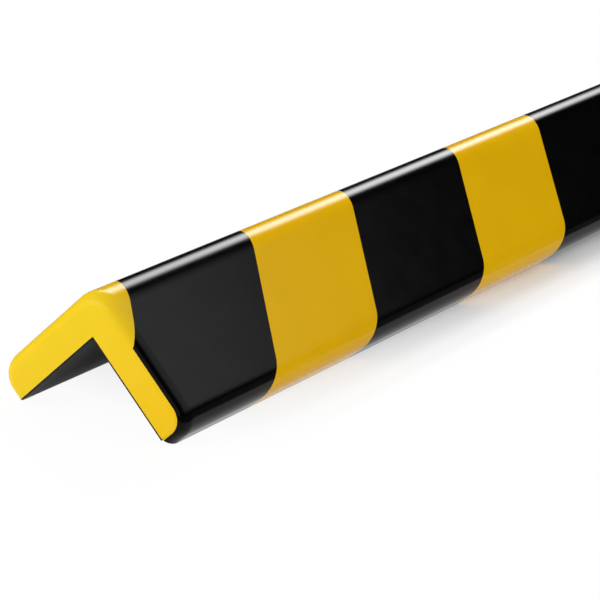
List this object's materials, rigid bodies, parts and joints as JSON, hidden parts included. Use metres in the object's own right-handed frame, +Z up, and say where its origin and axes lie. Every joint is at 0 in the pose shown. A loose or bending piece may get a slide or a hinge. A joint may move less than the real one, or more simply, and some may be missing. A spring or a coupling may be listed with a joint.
{
  "type": "magnetic corner bumper",
  "caption": "Soft foam angle profile with slanted black and yellow bands, held over the corner of a steel upright by a magnetic strip inside each leg.",
  "frame": {"origin": "middle of the bumper's footprint, on the surface that its leg tips stand on", "axes": "+Y along the bumper away from its near end, +Z up towards the outer corner, +X to the right leg"},
  "size_m": [0.0514, 1, 0.0316],
  "materials": {
    "yellow_foam": "satin skin of moulded polyurethane foam",
    "black_coat": "satin elastic coat on the foam's skin",
    "magnetic_sheet": "matt calendered magnetic sheet"
  },
  "bodies": {
    "root": {"foam_profile": "yellow_foam", "black_bands": "black_coat", "magnet_strip_left": "magnetic_sheet", "magnet_strip_right": "magnetic_sheet"}
  },
  "joints": []
}
